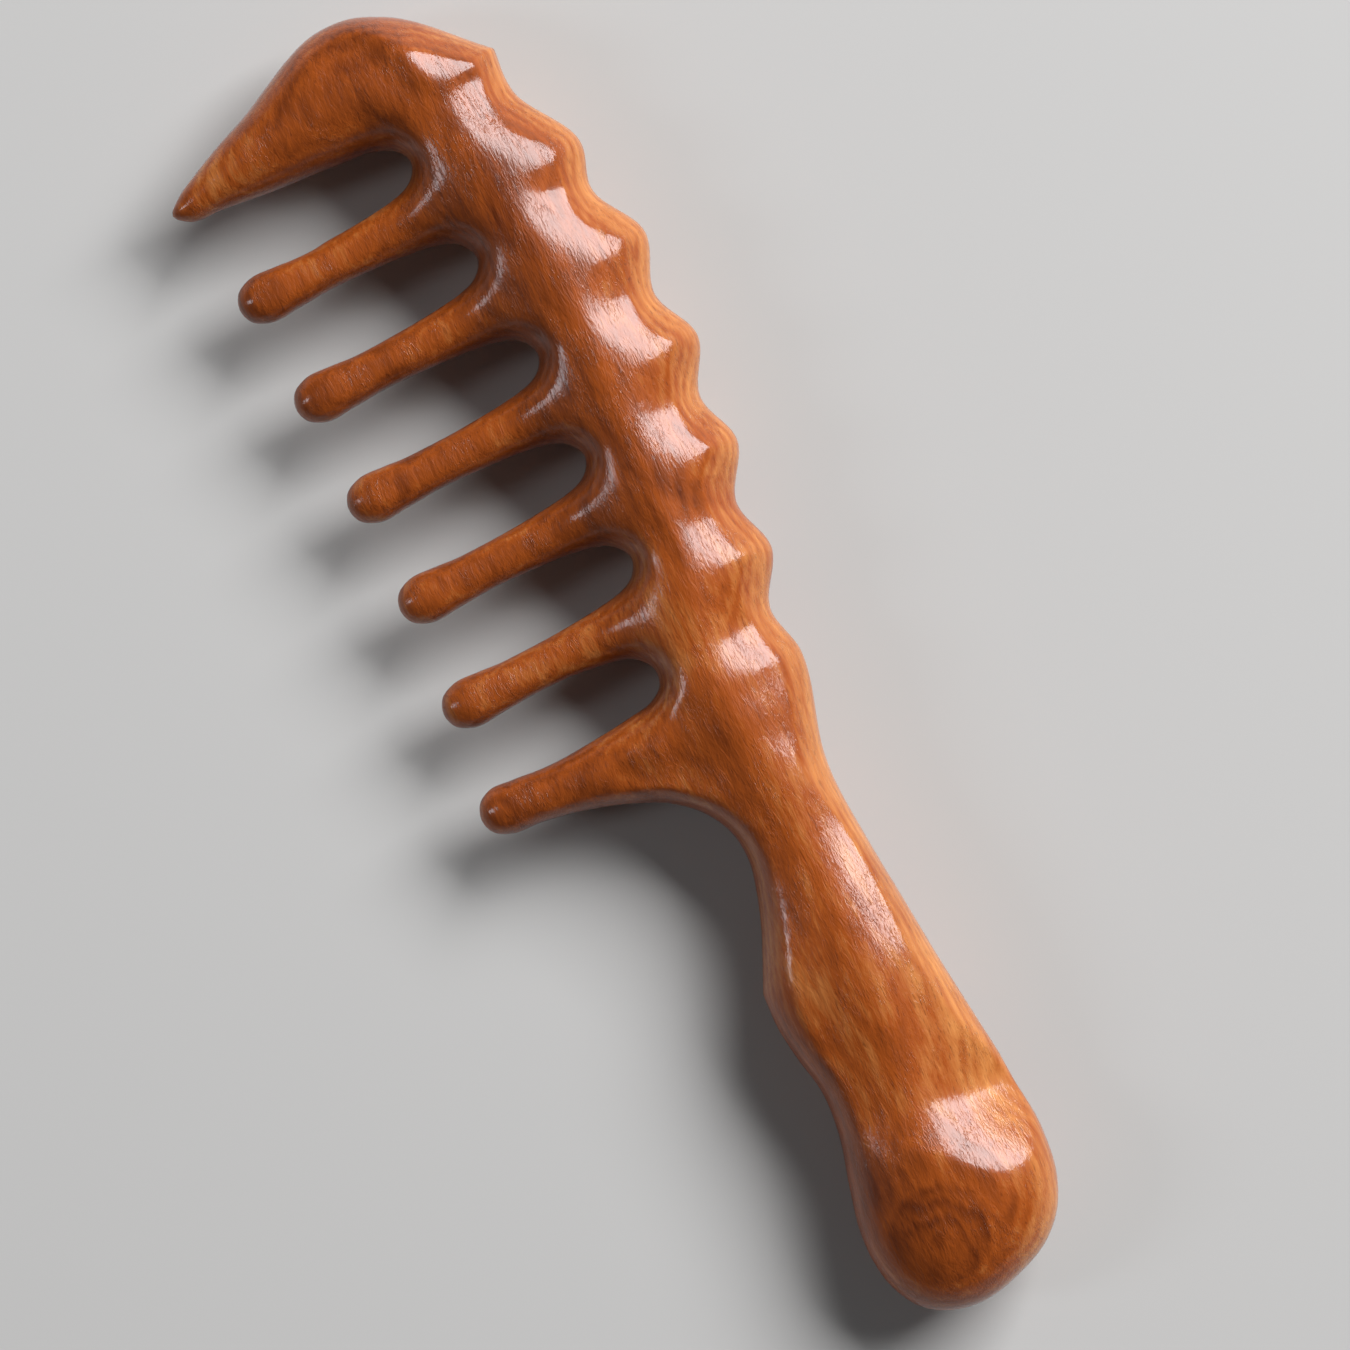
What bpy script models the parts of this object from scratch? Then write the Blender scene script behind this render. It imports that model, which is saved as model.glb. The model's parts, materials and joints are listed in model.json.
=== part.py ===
"""A wide-tooth wooden comb with a handle, lying on its side.

The comb is a scalloped back that carries a horn, five round teeth and a broad guard tooth,
and a handle that ends in a bulb. Every piece has a round tenon that sits in a blind socket
of the back. Nothing on the comb moves.

Sizes are in millimetres. They are measured on the bench from the handle's end along x,
from the comb's base line towards the tooth tips along y, and from the middle of the
board's thickness along z. The last step of each piece turns them into metres about the
middle of the comb's underside, so the comb lies on z = 0 with its length along X.
"""
import math

import bmesh
import bpy
from mathutils import Vector

# Board: the comb is no thicker than the board it is shaped from, whose two faces
# are left as small flats on the bulb, the knobs and the horn.
BOARD = 18.0

# Pieces that touch keep this gap, on seats and around tenons alike.
FIT = 0.3

# Handle, from its rounded end at x = 0 to its shoulder against the back.
HANDLE_LENGTH = 70.0
HANDLE_TENON_D = 8.0
HANDLE_TENON = 9.0

# Head: tooth spacing, and the bow of its three long lines. Each line is a cubic in the
# distance from the head's middle, counted in half heads.
PITCH = 15.0
TEETH = 5
GUARD_SETBACK = 16.1
HORN_SETBACK = 9.4
BACK_LINE = (-22.1, -2.8, 5.6, 2.2)
SLOT_LINE = (-2.1, 0.0, 5.1, 0.0)
TIP_LINE = (28.9, 0.5, 3.0, 0.0)

# Back: one knob behind each prong, a little further from the handle than the prong.
KNOB_SHIFT = 1.5
SCALLOP = 2.7
BACK_HALF = 10.6
VALLEY_DIP = 1.3
SLOT_THINNING = 0.5
NECK_FRONT = 1.1
NECK_HALF = 7.0

# Round teeth: tip ball, shank, flared root and the tenon below the seat.
TIP_D = 6.5
SHANK_D = 5.8
ROOT_D = 10.4
SEAT_DEPTH = 1.2
TOOTH_TENON_D = 4.0
TOOTH_TENON = 6.5
LEAN = math.radians(1.0)

# Guard tooth: its tenon, its tip and its half thickness at root and tip.
GUARD_TENON_D = 5.0
GUARD_TENON = 7.5
GUARD_ROOT_HALF = 6.2
GUARD_TIP_D = 6.6

# Horn: how far it stands past its shoulder, and its tenon.
HORN_TENON_D = 6.0
HORN_TENON = 5.0
HORN_TENON_Y = -9.0
HORN_HALF = 9.6

# Smoothness of lofted and turned pieces.
RING = 20
TOOTH_SIDES = 16
BACK_STEP = 1.9

# Places along the comb that follow from the sizes above.
GUARD_X = HANDLE_LENGTH + GUARD_SETBACK
TOOTH_XS = [GUARD_X + PITCH * (i + 1) for i in range(TEETH)]
HORN_X = TOOTH_XS[-1] + HORN_SETBACK
HEAD_HALF = 3.0 * PITCH
HEAD_MID = (GUARD_X + TOOTH_XS[-1]) / 2

# Handle stations: share of the handle's length, lower and upper edge, half thickness.
HANDLE_STATIONS = [
    (0.002, -4.6, -0.4, 1.6),
    (0.009, -6.8, 1.2, 3.1),
    (0.034, -11.7, 4.1, 6.0),
    (0.070, -15.5, 6.1, 8.2),
    (0.130, -18.2, 7.5, 9.7),
    (0.200, -19.7, 7.8, 10.1),
    (0.277, -20.0, 7.0, 9.8),
    (0.343, -19.7, 5.8, 9.3),
    (0.406, -19.1, 4.6, 8.8),
    (0.479, -18.4, 4.5, 8.5),
    (0.557, -17.7, 5.7, 8.5),
    (0.629, -17.0, 6.5, 8.5),
    (0.697, -16.5, 6.2, 8.4),
    (0.771, -15.9, 4.2, 8.1),
    (0.850, -15.3, 1.9, 7.6),
    (0.914, -14.8, 0.8, 7.2),
    (1.000, -14.4, NECK_FRONT, NECK_HALF),
]
HANDLE_TIP_Y = -2.5
NECK_MIDDLE = (HANDLE_STATIONS[-1][1] + HANDLE_STATIONS[-1][2]) / 2

# Guard stations: share of its height, and its two edges from the guard's own axis.
GUARD_STATIONS = [
    (0.00, -14.4, 5.8),
    (0.05, -12.3, 5.0),
    (0.12, -10.1, 4.4),
    (0.23, -8.1, 3.8),
    (0.37, -6.4, 3.2),
    (0.50, -5.2, 2.8),
    (0.64, -4.3, 2.6),
    (0.78, -3.8, 2.8),
    (0.88, -3.6, 2.9),
]

# Horn stations: outer edge x and y, inner edge x and y (x from the shoulder), and the
# share of the horn's full half thickness.
HORN_STATIONS = [
    (0.0, -13.9, 0.0, 2.9, 0.87),
    (4.0, -14.0, 0.9, 3.2, 0.92),
    (7.6, -13.6, 1.5, 3.8, 0.96),
    (11.4, -9.9, 1.9, 4.6, 1.00),
    (15.6, -5.3, 2.1, 5.8, 1.00),
    (18.6, 0.2, 2.2, 7.4, 0.97),
    (19.5, 5.4, 2.3, 9.6, 0.90),
    (18.3, 10.8, 2.4, 12.6, 0.80),
    (15.4, 16.6, 2.5, 16.8, 0.68),
    (12.3, 22.4, 2.6, 21.6, 0.57),
    (9.8, 27.6, 3.0, 26.2, 0.47),
    (7.9, 31.4, 3.5, 30.2, 0.34),
    (6.6, 33.6, 4.2, 32.8, 0.20),
]
HORN_TIP = (5.3, 34.4)

# Wood colours: the pieces differ a little, as cuts of one timber do.
WOOD = {
    "back": (0.26, 0.085, 0.026),
    "handle": (0.27, 0.09, 0.027),
    "horn": (0.25, 0.08, 0.025),
    "guard_tooth": (0.28, 0.095, 0.03),
    "tooth": (0.29, 0.10, 0.03),
}
WOOD_ROUGHNESS = 0.3


def cubic(line, x):
    """The height of one of the head's long lines at x."""
    u = (x - HEAD_MID) / HEAD_HALF
    return line[0] + u * (line[1] + u * (line[2] + u * line[3]))


def ease(value, low, high):
    """0 below low, 1 above high, smooth between."""
    t = min(max((value - low) / (high - low), 0.0), 1.0)
    return t * t * (3 - 2 * t)


def scallop(x):
    """0 on a knob, 1 in a valley; the last knob fades into the neck."""
    wave = (1 - math.cos(2 * math.pi * (x - GUARD_X - KNOB_SHIFT) / PITCH)) / 2
    return wave * ease(x, GUARD_X - 0.5 * PITCH, GUARD_X + 0.3 * PITCH)


def back_edge(x):
    """The scalloped outer edge of the back."""
    return cubic(BACK_LINE, x) + SCALLOP * scallop(x)


def front_edge(x):
    """The inner edge of the back: the slot bottoms, and the neck's edge below them."""
    slots = cubic(SLOT_LINE, x)
    return min(slots, NECK_FRONT) if x < HEAD_MID else slots


def evenly(start, end, step):
    """Places from start to end, as near to step apart as fits."""
    count = round((end - start) / step)
    return [start + (end - start) * i / count for i in range(count + 1)]


BACK_XS = evenly(HANDLE_LENGTH + FIT, HORN_X - FIT, BACK_STEP)
LENGTH = HORN_X + max(station[0] for station in HORN_STATIONS)
LOWEST_Y = min(back_edge(x) for x in BACK_XS)
ORIGIN = Vector((LENGTH / 2, (LOWEST_Y + HORN_TIP[1]) / 2, -BOARD / 2))


def metres(x, y, z):
    """A bench point in millimetres as a point of the finished comb, in metres."""
    return (Vector((x, y, z)) - ORIGIN) * 0.001


def collection(name):
    made = bpy.data.collections.new(name)
    bpy.context.scene.collection.children.link(made)
    return made


def wood(name, colour):
    """A plain wood finish for one piece."""
    material = bpy.data.materials.new(name + "_wood")
    material.use_nodes = True
    shader = material.node_tree.nodes["Principled BSDF"]
    shader.inputs["Base Color"].default_value = (*colour, 1)
    shader.inputs["Roughness"].default_value = WOOD_ROUGHNESS
    shader.inputs["Metallic"].default_value = 0.0
    return material


def smooth(mesh):
    mesh.shade_smooth()
    mesh.set_sharp_from_angle(angle=math.radians(40))


def new_object(name, mesh, home):
    made = bpy.data.objects.new(name, mesh)
    home.objects.link(made)
    return made


def piece(name, mesh, home, colour):
    """A named piece of the comb with its own finish."""
    made = new_object(name, mesh, home)
    made.data.materials.append(wood(name, colour))
    return made


def as_cutter(obj):
    obj.hide_render = True
    obj.display_type = "WIRE"
    return obj


def boolean(target, tool, operation):
    modifier = target.modifiers.new(operation.lower() + "_" + tool.name, "BOOLEAN")
    modifier.operation = operation
    modifier.solver = "EXACT"
    modifier.object = tool


def halfway(a, b, c, d):
    """The middle of the span from b to c of a smooth curve through all four."""
    return (9 * (b + c) - a - d) / 16


def densified(stations):
    """The stations with one more between each pair, on a smooth curve through them."""
    padded = [stations[0], *stations, stations[-1]]
    out = []
    for i in range(len(stations) - 1):
        out.append(stations[i])
        out.append(tuple(halfway(*values) for values in zip(*padded[i:i + 4])))
    return out + [stations[-1]]


def ring(lower, upper, half, bluntness=2.0, thinning=0.0):
    """A closed section across the board from one edge point to the other.

    half is the half thickness; bluntness 2 is an ellipse, and more is squarer;
    thinning takes that share off the thickness at the upper edge.
    """
    points = []
    for i in range(RING):
        angle = 2 * math.pi * i / RING
        across = (1 - math.cos(angle)) / 2
        rise = (1 - abs(2 * across - 1) ** bluntness) ** (1 / bluntness)
        height = half * rise * (1 - thinning * across ** 1.5)
        x = lower[0] + across * (upper[0] - lower[0])
        y = lower[1] + across * (upper[1] - lower[1])
        points.append(metres(x, y, math.copysign(height, math.sin(angle))))
    return points


def loft(name, rings, tip=None, start=None):
    """A closed skin through rings of equal count, ended by a point or a flat cap."""
    bm = bmesh.new()
    loops = [[bm.verts.new(p) for p in points] for points in rings]
    for one, two in zip(loops, loops[1:]):
        for i in range(RING):
            j = (i + 1) % RING
            bm.faces.new((one[i], one[j], two[j], two[i]))
    for loop, point in ((loops[0], start), (loops[-1], tip)):
        if point is None:
            bm.faces.new(loop)
        else:
            apex = bm.verts.new(point)
            for i in range(RING):
                bm.faces.new((loop[i], loop[(i + 1) % RING], apex))
    bmesh.ops.recalc_face_normals(bm, faces=bm.faces)
    mesh = bpy.data.meshes.new(name)
    bm.to_mesh(mesh)
    bm.free()
    smooth(mesh)
    return mesh


def rod(name, home, start, end, diameter):
    """A round rod in the board's mid-plane, for tenons and the sockets they sit in."""
    foot, head = metres(*start, 0), metres(*end, 0)
    bm = bmesh.new()
    bmesh.ops.create_cone(
        bm, cap_ends=True, segments=24, radius1=diameter / 2000, radius2=diameter / 2000,
        depth=(head - foot).length,
    )
    mesh = bpy.data.meshes.new(name)
    bm.to_mesh(mesh)
    bm.free()
    smooth(mesh)
    made = new_object(name, mesh, home)
    made.location = (foot + head) / 2
    made.rotation_mode = "QUATERNION"
    made.rotation_quaternion = (head - foot).to_track_quat("Z", "Y")
    return as_cutter(made)


def socket(target, name, home, bottom, mouth, tenon_d):
    """Bore a blind hole for a tenon, wider than it by the fit all round."""
    boolean(target, rod(name, home, bottom, mouth, tenon_d + 2 * FIT), "DIFFERENCE")


def tenon(target, name, home, root, end, diameter):
    """Grow a round tenon out of a piece."""
    boolean(target, rod(name, home, root, end, diameter), "UNION")


def board_blank(home):
    """The board itself, which trims every piece to its thickness."""
    bm = bmesh.new()
    bmesh.ops.create_cube(bm, size=1)
    scale = Vector((1.2 * LENGTH, 1.2 * LENGTH, BOARD)) * 0.001
    bmesh.ops.scale(bm, vec=scale, verts=bm.verts)
    mesh = bpy.data.meshes.new("board_blank")
    bm.to_mesh(mesh)
    bm.free()
    made = new_object("board_blank", mesh, home)
    made.location = (0, 0, BOARD / 2000)
    return as_cutter(made)


def tooth_seat(x):
    """Where a round tooth's flat foot rests, sunk a little into the slot line."""
    return cubic(SLOT_LINE, x) - SEAT_DEPTH


def back(home, tools, blank):
    """The scalloped back with a socket for every prong and for the handle."""
    rings = []
    for x in BACK_XS:
        into_head = ease(x, HANDLE_LENGTH, GUARD_X)
        half = NECK_HALF + into_head * (BACK_HALF - NECK_HALF) - VALLEY_DIP * scallop(x)
        rings.append(ring(
            (x, back_edge(x)), (x, front_edge(x)), half,
            bluntness=2 + 0.5 * into_head, thinning=SLOT_THINNING * into_head,
        ))
    made = piece("back", loft("back", rings), home, WOOD["back"])
    boolean(made, blank, "INTERSECT")
    for i, x in enumerate(TOOTH_XS):
        seat = tooth_seat(x)
        socket(made, f"seat_{i + 1}", tools, (x, seat), (x, seat + 3 * SEAT_DEPTH), ROOT_D)
        bottom = seat - TOOTH_TENON
        socket(made, f"socket_{i + 1}", tools, (x, bottom), (x, seat + FIT), TOOTH_TENON_D)
    guard_foot = NECK_FRONT - GUARD_TENON
    socket(made, "guard_socket", tools, (GUARD_X, guard_foot), (GUARD_X, NECK_FRONT + 2), GUARD_TENON_D)
    handle_end = HANDLE_LENGTH + HANDLE_TENON + FIT
    socket(made, "handle_socket", tools, (handle_end, NECK_MIDDLE), (HANDLE_LENGTH - 2, NECK_MIDDLE),
           HANDLE_TENON_D)
    horn_end = HORN_X - HORN_TENON - FIT
    socket(made, "horn_socket", tools, (horn_end, HORN_TENON_Y), (HORN_X + 2, HORN_TENON_Y),
           HORN_TENON_D)


def handle(home, tools, blank):
    """The handle: bulb, waist, finger swell and neck, with a tenon at its shoulder."""
    rings = [
        ring((share * HANDLE_LENGTH, low), (share * HANDLE_LENGTH, high), half)
        for share, low, high, half in densified(HANDLE_STATIONS)
    ]
    mesh = loft("handle", rings, start=metres(0, HANDLE_TIP_Y, 0))
    made = piece("handle", mesh, home, WOOD["handle"])
    boolean(made, blank, "INTERSECT")
    root = (HANDLE_LENGTH - HANDLE_TENON, NECK_MIDDLE)
    tenon(made, "handle_tenon", tools, root, (HANDLE_LENGTH + HANDLE_TENON, NECK_MIDDLE), HANDLE_TENON_D)


def horn(home, tools, blank):
    """The horn: the head's rounded corner drawn out into a curved point."""
    rings = [
        ring((HORN_X + ox, oy), (HORN_X + ix, iy), HORN_HALF * share, bluntness=2 + 0.4 * share)
        for ox, oy, ix, iy, share in densified(HORN_STATIONS)
    ]
    tip = metres(HORN_X + HORN_TIP[0], HORN_TIP[1], 0)
    made = piece("horn", loft("horn", rings, tip=tip), home, WOOD["horn"])
    boolean(made, blank, "INTERSECT")
    root = (HORN_X + HORN_TENON, HORN_TENON_Y)
    tenon(made, "horn_tenon", tools, root, (HORN_X - HORN_TENON, HORN_TENON_Y), HORN_TENON_D)


def guard_tooth(home, tools):
    """The broad-rooted tooth beside the handle."""
    base = NECK_FRONT + FIT
    ball = GUARD_TIP_D / 2
    height = cubic(TIP_LINE, GUARD_X) - base
    lean = math.tan(LEAN)
    rings = []
    for share, low, high in densified(GUARD_STATIONS):
        y = base + share * height
        half = ball + (GUARD_ROOT_HALF - ball) * (1 - share) ** 3
        rings.append(ring((GUARD_X + low, y), (GUARD_X + high, y), half))
    centre = (GUARD_STATIONS[-1][1] + GUARD_STATIONS[-1][2]) / 2
    for angle in (25, 45, 62, 77):
        turn = math.radians(angle)
        y = base + height - ball * (1 - math.sin(turn))
        if y > base + GUARD_STATIONS[-1][0] * height:
            middle = GUARD_X + centre - lean * ball
            rings.append(ring((middle - ball * math.cos(turn), y), (middle + ball * math.cos(turn), y),
                              ball * math.cos(turn)))
    tip = metres(GUARD_X + centre - lean * ball, base + height, 0)
    made = piece("guard_tooth", loft("guard_tooth", rings, tip=tip), home, WOOD["guard_tooth"])
    foot = (GUARD_X, base - GUARD_TENON)
    tenon(made, "guard_tenon", tools, (GUARD_X, base + GUARD_TENON), foot, GUARD_TENON_D)


def tooth_profile(length):
    """Half of a tooth's turned outline, from its tip down to the end of its tenon."""
    ball = TIP_D / 2
    points = []
    for i in range(6):
        turn = math.radians(90 - 15 * i)
        points.append((ball * math.cos(turn), length - ball + ball * math.sin(turn)))
    flare = ROOT_D - SHANK_D
    points += [
        (ball, length - 1.35 * ball),
        (0.5 * SHANK_D + 0.7 * (ball - 0.5 * SHANK_D), length - 2.2 * ball),
        (0.5 * SHANK_D, length - 3.4 * ball),
        (0.5 * SHANK_D, 0.5 * length),
        (0.5 * SHANK_D + 0.08 * flare, 0.32 * length),
        (0.5 * SHANK_D + 0.16 * flare, 0.18 * length),
        (0.5 * SHANK_D + 0.25 * flare, 0.10 * length),
        (0.5 * SHANK_D + 0.38 * flare, 0.05 * length),
        (0.5 * ROOT_D, 0.0),
        (0.5 * TOOTH_TENON_D, 0.0),
        (0.5 * TOOTH_TENON_D, -TOOTH_TENON),
        (0.0, -TOOTH_TENON),
    ]
    return points


def round_tooth(number, x, home):
    """One turned tooth, its tenon in the back and its tip leaning a little to the handle."""
    foot = tooth_seat(x) + FIT
    length = (cubic(TIP_LINE, x) - foot) / math.cos(LEAN)
    profile = [(0.001 * r, 0.0, 0.001 * h) for r, h in tooth_profile(length)]
    mesh = bpy.data.meshes.new(f"tooth_{number}")
    mesh.from_pydata(profile, [(i, i + 1) for i in range(len(profile) - 1)], [])
    made = piece(f"tooth_{number}", mesh, home, WOOD["tooth"])
    screw = made.modifiers.new("turned", "SCREW")
    screw.angle = 2 * math.pi
    screw.steps = TOOTH_SIDES
    screw.render_steps = TOOTH_SIDES
    screw.use_merge_vertices = True
    screw.merge_threshold = 0.00001
    screw.use_smooth_shade = True
    made.location = metres(x, foot, 0)
    made.rotation_euler = (-math.pi / 2, 0, LEAN)


def main():
    for old in list(bpy.data.objects):
        bpy.data.objects.remove(old, do_unlink=True)
    home = collection("wooden_comb")
    tools = collection("cutters")
    blank = board_blank(tools)
    back(home, tools, blank)
    handle(home, tools, blank)
    horn(home, tools, blank)
    guard_tooth(home, tools)
    for i, x in enumerate(TOOTH_XS):
        round_tooth(i + 1, x, home)


main()
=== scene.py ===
"""The comb's fine surface, its polished wood, and a plain studio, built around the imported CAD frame.

The whole comb is sculpted once as a smooth implicit surface, symmetric about the board's
mid-plane. It is then sawn along the joints into the nine pieces that stand for the nine CAD nodes.

Sculpting happens in bench coordinates, in millimetres: x along the comb from the end of the
handle, y across it from the base line of the teeth towards their tips, z up from the mid-plane.
"""

import json
import math

import bmesh
import bpy
import numpy as np
from mathutils import Matrix, Vector, kdtree


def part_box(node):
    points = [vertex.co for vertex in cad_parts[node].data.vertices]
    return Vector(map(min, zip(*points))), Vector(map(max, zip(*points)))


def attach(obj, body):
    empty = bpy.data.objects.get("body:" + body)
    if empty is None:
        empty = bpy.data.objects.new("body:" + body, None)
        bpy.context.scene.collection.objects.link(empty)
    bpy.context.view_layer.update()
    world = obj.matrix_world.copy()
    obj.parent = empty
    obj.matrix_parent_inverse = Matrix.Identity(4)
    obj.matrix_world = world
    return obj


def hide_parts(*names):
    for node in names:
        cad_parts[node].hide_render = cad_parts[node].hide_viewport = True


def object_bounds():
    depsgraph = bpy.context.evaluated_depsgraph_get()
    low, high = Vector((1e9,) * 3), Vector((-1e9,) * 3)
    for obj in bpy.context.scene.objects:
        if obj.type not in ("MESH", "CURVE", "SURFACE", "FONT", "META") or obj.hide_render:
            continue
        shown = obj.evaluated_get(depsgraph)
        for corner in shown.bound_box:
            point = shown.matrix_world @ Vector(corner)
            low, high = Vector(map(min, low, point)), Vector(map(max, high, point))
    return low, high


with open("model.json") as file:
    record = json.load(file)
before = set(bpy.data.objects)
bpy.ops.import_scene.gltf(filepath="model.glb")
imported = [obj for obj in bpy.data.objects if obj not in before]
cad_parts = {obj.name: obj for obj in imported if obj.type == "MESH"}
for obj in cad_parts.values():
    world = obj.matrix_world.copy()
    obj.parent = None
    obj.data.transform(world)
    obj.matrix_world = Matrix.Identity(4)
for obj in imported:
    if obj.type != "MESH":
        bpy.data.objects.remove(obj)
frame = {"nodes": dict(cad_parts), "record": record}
CAD_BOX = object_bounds()

MM = 0.001
HORN_TIP = (175.8, 34.4)
BENCH_ORIGIN = Vector(
    (CAD_BOX[0].x, CAD_BOX[1].y - HORN_TIP[1] * MM, (CAD_BOX[0].z + CAD_BOX[1].z) / 2)
)
BOARD_HALF = (CAD_BOX[1].z - CAD_BOX[0].z) / 2 / MM

# ---- the outline ---------------------------------------------------------------------------

KNOBS = (
    (88.5, -17.4), (103.0, -19.6), (117.8, -21.4), (132.4, -22.4), (147.5, -21.8), (161.8, -19.0),
)
VALLEYS = (
    (73.0, -14.4), (95.0, -16.0), (109.7, -17.8), (124.6, -19.3), (139.8, -19.5), (156.2, -17.7),
    (173.0, -13.5),
)
BACK_CORNER = (178.2, -13.7)
SLOT_BOTTOMS = (
    (94.0, 1.3), (109.3, -1.95), (124.2, -2.0), (139.0, -2.0), (153.9, 0.0), (169.0, 2.7),
)
TOOTH_AXES = (101.1, 116.15, 131.1, 146.15, 161.2)
TIP_HEIGHTS = (29.3, 28.8, 29.4, 30.2, 31.5)
TIP_RADIUS = 3.2
TIP_SHIFT = -0.5
GUARD_TIP = (85.8, 30.6)
GUARD_TIP_RADIUS = 3.3

# A tooth's flanks beside its axis: (offset, height over the slot's bottom) where they flare into
# the slots, and (offset, height under the tip) along the shank.
LEFT_FLARE = ((-5.3, 0.9), (-4.35, 2.0), (-3.75, 3.6), (-3.3, 6.5))
RIGHT_FLARE = ((2.95, 15.0), (3.3, 11.0), (3.8, 7.0), (4.3, 4.2), (5.0, 2.1), (5.9, 0.9))
LEFT_SHANK = ((-3.0, 18.5), (-3.1, 11.5), (-3.5, 7.5))
RIGHT_SHANK = ((2.8, 6.5), (2.65, 9.5), (2.75, 12.5))

# The neck meets the handle in a corner, which is a point given twice.
NECK_AND_GUARD = (
    (49.2, 6.3), (49.2, 6.3), (54.0, 4.2), (58.0, 2.6), (62.0, 1.4), (66.0, 0.6), (70.0, 1.0),
    (74.0, 3.1), (77.0, 6.4), (79.6, 12.0), (81.2, 17.5), (82.2, 23.5),
)
GUARD_INNER = ((89.0, 25.0), (88.7, 20.0), (89.3, 12.0), (90.0, 7.0), (90.8, 3.4), (92.2, 1.7))
HORN_INNER = (
    (171.0, 3.6), (172.2, 6.0), (172.8, 12.0), (173.2, 21.0), (173.8, 28.5), (174.0, 32.4),
)
HORN_OUTER = (
    (177.6, 32.7), (179.5, 29.4), (181.8, 24.8), (183.9, 20.0), (186.2, 15.8), (188.2, 12.0),
    (189.6, 8.4), (190.0, 5.2), (189.7, 2.0), (188.3, -1.7),
)
HANDLE_BELOW = ((62.0, -15.0), (54.0, -15.9), (44.0, -17.0), (33.5, -18.4), (24.0, -19.7))
BULB = (
    (17.0, -20.0), (11.5, -19.3), (7.0, -17.3), (3.8, -14.2), (1.4, -9.3), (0.0, -2.9), (0.9, 1.6),
    (2.8, 4.5), (6.2, 6.7), (11.0, 7.8), (15.5, 7.7),
)
HANDLE_ABOVE = ((21.0, 6.6), (28.4, 4.9), (34.0, 4.6), (40.0, 5.8), (44.5, 6.4))

OUTLINE_STEP = 0.25
SCALLOP_STEP = 1.5

# A round tip's arc runs between these angles, in degrees, and has this many points.
TIP_SWEEP = (170, 10)
TIP_POINTS = 5

# A length that only keeps a division from being by nothing.
TINY = 1e-9


def ease(t):
    """A smooth step from 0 to 1 that starts and ends level."""
    return t * t * (3 - 2 * t)


def eased(x, stations):
    """The value at x of a curve that runs level through each station (x, value), and turns
    smoothly between them."""
    xs, values = (np.array(column, float) for column in zip(*sorted(stations)))
    i = np.clip(np.searchsorted(xs, x) - 1, 0, len(xs) - 2)
    t = np.clip((x - xs[i]) / (xs[i + 1] - xs[i]), 0, 1)
    return values[i] + (values[i + 1] - values[i]) * ease(t)


def smooth_path(points, closed, step):
    """Points a step apart on the smooth curve through the given ones. A point given twice makes
    a corner."""
    p = np.array(points, float)
    ahead = np.roll(p, -1, 0) - p
    if not closed:
        ahead[-1] = 0
    length = np.linalg.norm(ahead, axis=1)
    away = ahead / np.maximum(length, TINY)[:, None]
    before, arrive = np.roll(length, 1), np.roll(away, 1, 0)
    tangent = arrive * length[:, None] + away * before[:, None]
    tangent /= np.maximum(length + before, TINY)[:, None]
    tangent[length == 0] = arrive[length == 0]
    tangent[before == 0] = away[before == 0]
    out = []
    for i in np.flatnonzero(length):
        j = (i + 1) % len(p)
        t = np.linspace(0, 1, max(2, math.ceil(length[i] / step) + 1))[:-1, None]
        bend = t * (1 - t) * length[i]
        out.append(p[i] + (p[j] - p[i]) * ease(t) + bend * ((1 - t) * tangent[i] - t * tangent[j]))
    if not closed:
        out.append(p[-1:])
    return np.concatenate(out)


def tip_arc(centre, radius):
    """Points over a round tip, from its left side to its right."""
    angles = np.radians(np.linspace(*TIP_SWEEP, TIP_POINTS))
    return [(centre[0] + radius * math.cos(a), centre[1] + radius * math.sin(a)) for a in angles]


def tooth_outline(axis, tip, left_bottom, right_bottom):
    """Points up a tooth's left side, over its tip, and down its right side."""
    points = [(axis + s, left_bottom + h) for s, h in LEFT_FLARE]
    points += [(axis + s, tip - h) for s, h in LEFT_SHANK]
    points += tip_arc((axis + TIP_SHIFT, tip - TIP_RADIUS), TIP_RADIUS)
    points += [(axis + s, tip - h) for s, h in RIGHT_SHANK]
    return points + [(axis + s, right_bottom + h) for s, h in RIGHT_FLARE]


def comb_outline():
    """The closed outline, clockwise from the neck: guard tooth, teeth, horn, knobs, handle."""
    points = list(NECK_AND_GUARD)
    points += tip_arc((GUARD_TIP[0], GUARD_TIP[1] - GUARD_TIP_RADIUS), GUARD_TIP_RADIUS)
    points += list(GUARD_INNER)
    for i, (axis, tip) in enumerate(zip(TOOTH_AXES, TIP_HEIGHTS)):
        points.append(SLOT_BOTTOMS[i])
        points += tooth_outline(axis, tip, SLOT_BOTTOMS[i][1], SLOT_BOTTOMS[i + 1][1])
    points.append(SLOT_BOTTOMS[-1])
    points += list(HORN_INNER) + [HORN_TIP] + list(HORN_OUTER) + [BACK_CORNER, BACK_CORNER]
    xs = np.arange(VALLEYS[-1][0], VALLEYS[0][0], -SCALLOP_STEP)
    points += list(zip(xs, eased(xs, KNOBS + VALLEYS)))
    points += list(HANDLE_BELOW) + list(BULB) + list(HANDLE_ABOVE)
    return smooth_path(points, True, OUTLINE_STEP)


# ---- fields over the bench plane -----------------------------------------------------------

CELL = 0.4
X = np.arange(-3.2, 193.6, CELL)
Y = np.arange(-25.6, 37.6, CELL)
GX, GY = np.meshgrid(X, Y, indexing="ij")

# Moves the grid's rows off the outline's own points, so that no row runs along one.
ROW_NUDGE = 1e-6

# The membrane is held down a little everywhere by SWELL, and its height is found in so many rounds.
SWELL = 0.1
SOLVER_ROUNDS = 1500

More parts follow.
